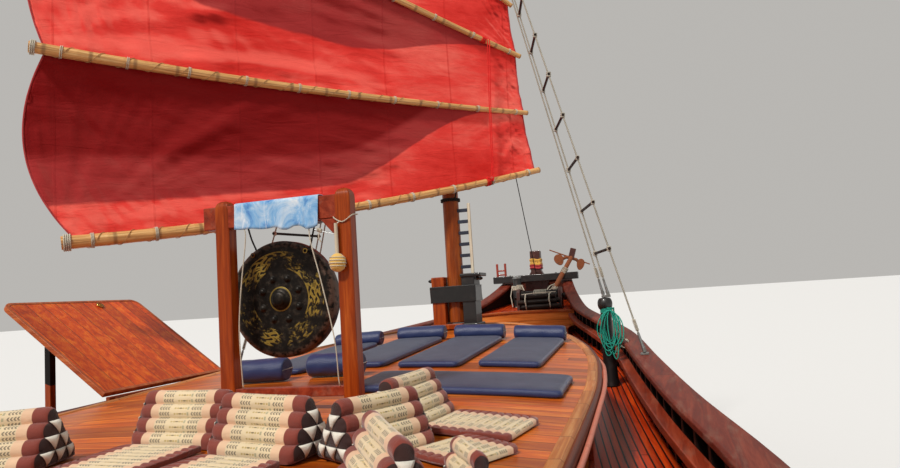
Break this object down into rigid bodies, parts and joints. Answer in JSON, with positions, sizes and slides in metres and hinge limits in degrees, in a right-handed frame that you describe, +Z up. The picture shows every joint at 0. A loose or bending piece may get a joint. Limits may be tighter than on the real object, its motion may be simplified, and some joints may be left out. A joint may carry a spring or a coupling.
{
  "type": "chinese junk ship",
  "caption": "Decked wooden junk with a red battened fan sail on a varnished mast, a cambered cabin roof with mattresses, cushions and a gong, poop house, mizzen and stern rudder",
  "frame": {"origin": "centreline, amidships, at the waterline that carries the boat", "axes": "+X to starboard, +Y towards the bow, +Z up"},
  "size_m": [6.5657, 24.02, 14.68],
  "materials": {
    "bottom_paint": "matte dark red-brown bottom paint",
    "dark_paint": "worn dark brown-red paint, satin",
    "varnish": "orange varnished planks, glossy",
    "redwood": "red-brown varnished wood, satin",
    "black_wood": "black paint and tar, satin",
    "sail_cloth": "red sailcloth, matte",
    "bamboo": "weathered bamboo, satin",
    "rope": "off-white rope, matte",
    "tarred_rope": "tarred rope, matte",
    "gong_bronze": "black patina with worn gold rings",
    "propeller_bronze": "dull bronze",
    "anchor_iron": "rusty, rough",
    "navy_fabric": "dark blue woven cover, matte",
    "cushion_fabric": "cream, peach and brown woven bands, matte"
  },
  "bodies": {
    "boat": {"hull": "bottom_paint", "bulwark_stern": "dark_paint", "bulwark_port": "dark_paint", "bulwark_starboard": "dark_paint", "bulwark_fore_port": "dark_paint", "bulwark_fore_starboard": "dark_paint", "bulwark_bow": "dark_paint", "cap_rail": "redwood", "cabin_trunk": "varnish", "cabin_roof": "varnish", "roof_rim": "varnish", "foredeck": "varnish", "crossbeam": "black_wood", "windlass_frame": "dark_paint", "anchor": "anchor_iron", "tabernacle": "black_wood", "main_mast": "varnish", "forestay": "tarred_rope", "shroud_post_port": "black_wood", "shrouds_port": "rope", "shroud_post_starboard": "black_wood", "shrouds_starboard": "rope", "mizzen_mast": "varnish", "poop_house": "varnish", "poop_front": "varnish", "poop_deck": "varnish", "poop_rail": "redwood", "gong_frame": "varnish", "leaf_post": "black_wood", "mattress_starboard": "navy_fabric", "mattress_middle": "navy_fabric", "mattress_port": "navy_fabric", "mattress_outer_port": "navy_fabric", "mattress_across": "navy_fabric", "bolster_port": "navy_fabric", "bolster_middle": "navy_fabric", "cushion_1": "cushion_fabric", "cushion_2": "cushion_fabric", "cushion_3": "cushion_fabric", "cushion_4": "cushion_fabric", "cushion_5": "cushion_fabric", "cushion_6": "cushion_fabric", "cushion_7": "cushion_fabric"},
    "rudder": {"rudder": "dark_paint"},
    "propeller": {"propeller": "propeller_bronze"},
    "main_rig": {"main_sail": "sail_cloth", "main_boom": "bamboo", "main_batten_2": "bamboo", "main_batten_3": "bamboo", "main_batten_4": "bamboo", "main_batten_5": "bamboo", "main_yard": "bamboo"},
    "mizzen_rig": {"mizzen_sail": "sail_cloth", "mizzen_boom": "bamboo", "mizzen_yard": "bamboo"},
    "hatch": {"roof_hatch": "redwood"},
    "door": {"poop_door": "redwood"},
    "windlass": {"windlass_barrel": "dark_paint"},
    "gong": {"gong": "gong_bronze"},
    "leaf": {"side_leaf": "varnish"}
  },
  "joints": [
    {"name": "rudder_turn", "type": "hinge", "parent": "boat", "child": "rudder", "pos_m": [0, -11.64, 0], "axis": [0, 0, 1], "range_deg": [-35, 35]},
    {"name": "propeller_turn", "type": "hinge", "parent": "boat", "child": "propeller", "pos_m": [0, -10.65, -0.76], "axis": [0, 1, 0], "continuous": true},
    {"name": "main_swing", "type": "hinge", "parent": "boat", "child": "main_rig", "pos_m": [0, 4.45, 4.43], "axis": [0, 0, 1], "range_deg": [-14, 58]},
    {"name": "mizzen_swing", "type": "hinge", "parent": "boat", "child": "mizzen_rig", "pos_m": [0, -9, 5.72], "axis": [0, 0, 1], "range_deg": [-40, 80]},
    {"name": "hatch_lift", "type": "hinge", "parent": "boat", "child": "hatch", "pos_m": [0, -3.95, 2.4076], "axis": [-1, 0, 0], "range_deg": [0, 85]},
    {"name": "door_swing", "type": "hinge", "parent": "boat", "child": "door", "pos_m": [-0.355, -6.3897, 2.5], "axis": [0, 0, 1], "range_deg": [0, 110]},
    {"name": "windlass_turn", "type": "hinge", "parent": "boat", "child": "windlass", "pos_m": [0.24, 9.64, 3.06], "axis": [1, 0, 0], "continuous": true},
    {"name": "gong_swing", "type": "hinge", "parent": "boat", "child": "gong", "pos_m": [0.1, -0.13, 3.7626], "axis": [1, 0, 0], "range_deg": [-3, 25]},
    {"name": "leaf_lift", "type": "hinge", "parent": "boat", "child": "leaf", "pos_m": [-2.118, 1.5, 2.494], "axis": [0, 1, 0], "range_deg": [0, 28]}
  ]
}
